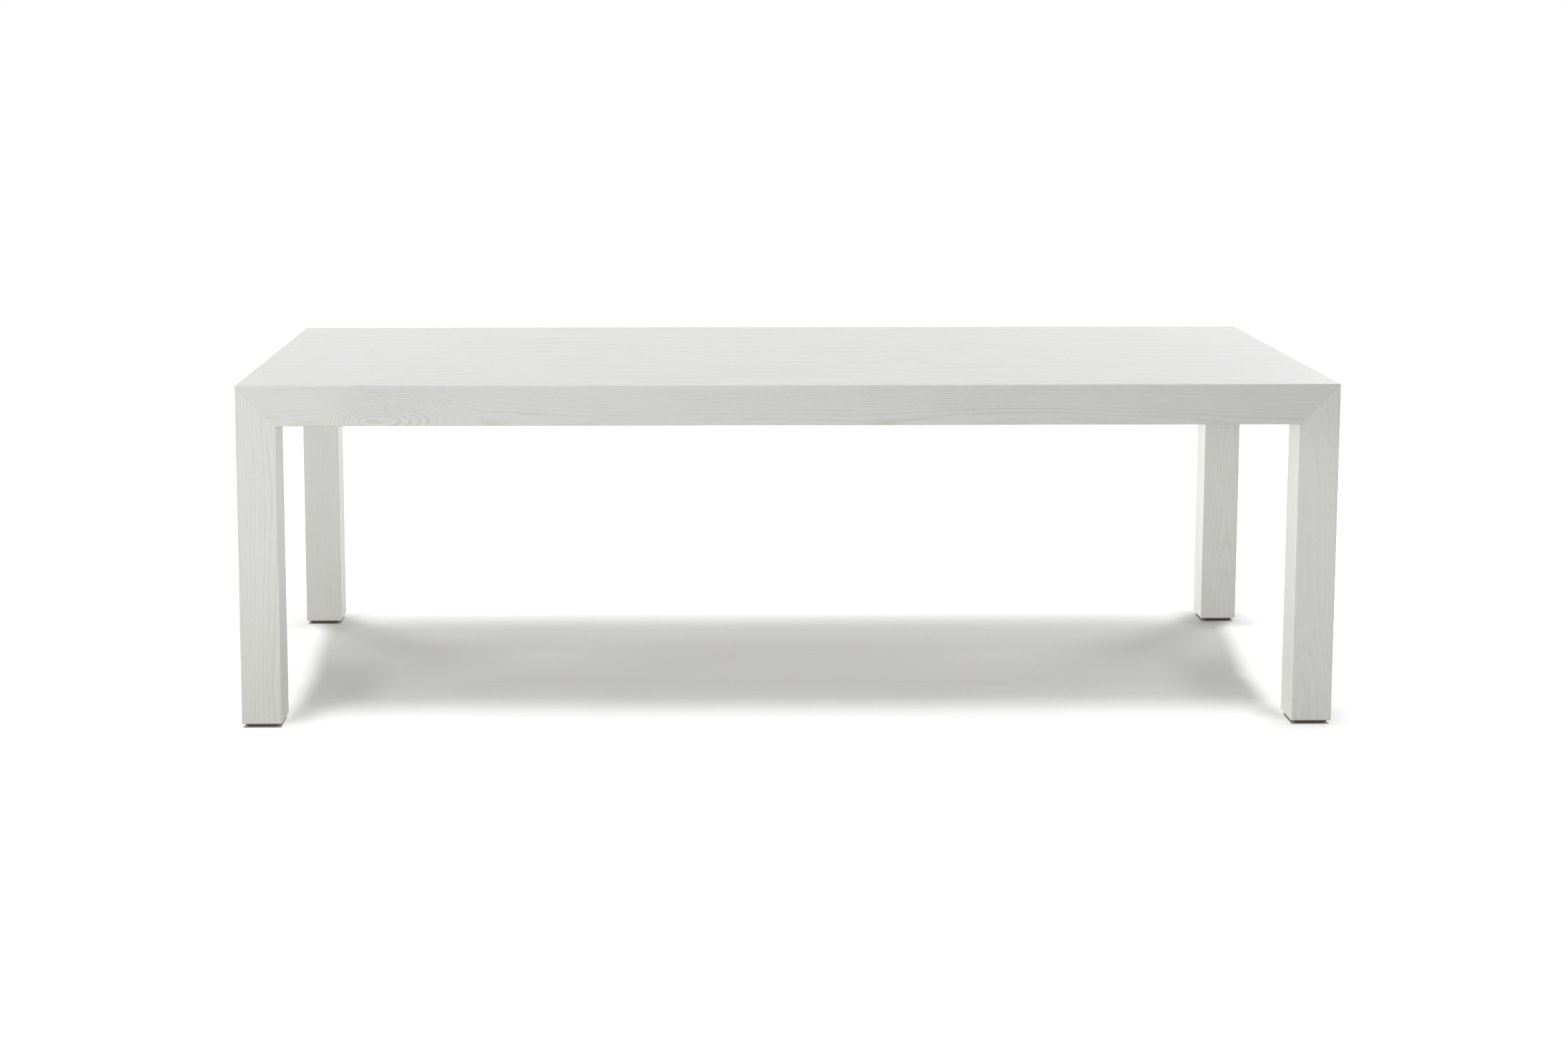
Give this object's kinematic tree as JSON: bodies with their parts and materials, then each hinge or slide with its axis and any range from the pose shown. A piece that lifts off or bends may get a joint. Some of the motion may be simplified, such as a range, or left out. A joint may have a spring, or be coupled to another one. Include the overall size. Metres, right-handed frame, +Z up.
{
  "type": "parsons dining table",
  "caption": "Long rectangular dining table with a flush top, deep mitred aprons and square corner legs as wide as the aprons are high, on small square glides.",
  "frame": {"origin": "on the floor under the middle of the top", "axes": "+X along the table, -Y the front (a long side), +Z up"},
  "size_m": [2.4, 1, 0.76],
  "materials": {
    "limed_ash_top": "white limed, matt lacquer, grain along the table",
    "limed_ash_apron": "white limed, matt lacquer, grain along the board",
    "limed_ash_leg": "white limed, matt lacquer, upright grain",
    "frame_wood": "planed, unstained",
    "birch_ply": "raw plywood strip",
    "beech_dowel": "raw beech",
    "glide_plastic": "moulded, fine matt",
    "zinc_steel": "bright zinc plate",
    "yellow_zinc_steel": "yellow zinc plate"
  },
  "bodies": {
    "root": {"top_panel": "limed_ash_top", "front_apron": "limed_ash_apron", "rear_apron": "limed_ash_apron", "left_apron": "limed_ash_apron", "right_apron": "limed_ash_apron", "front_left_leg": "limed_ash_leg", "front_right_leg": "limed_ash_leg", "rear_left_leg": "limed_ash_leg", "rear_right_leg": "limed_ash_leg", "front_left_block": "frame_wood", "front_right_block": "frame_wood", "rear_left_block": "frame_wood", "rear_right_block": "frame_wood", "left_rail": "frame_wood", "middle_rail": "frame_wood", "right_rail": "frame_wood", "front_spline": "birch_ply", "rear_spline": "birch_ply", "left_spline": "birch_ply", "right_spline": "birch_ply", "front_left_glide": "glide_plastic", "front_right_glide": "glide_plastic", "rear_left_glide": "glide_plastic", "rear_right_glide": "glide_plastic", "mitre_dowels": "beech_dowel", "rail_dowels": "beech_dowel", "hanger_bolts": "zinc_steel", "bolt_washers": "zinc_steel", "bolt_nuts": "zinc_steel", "block_screws": "yellow_zinc_steel", "top_screws": "yellow_zinc_steel", "glide_screws": "yellow_zinc_steel"}
  },
  "joints": []
}
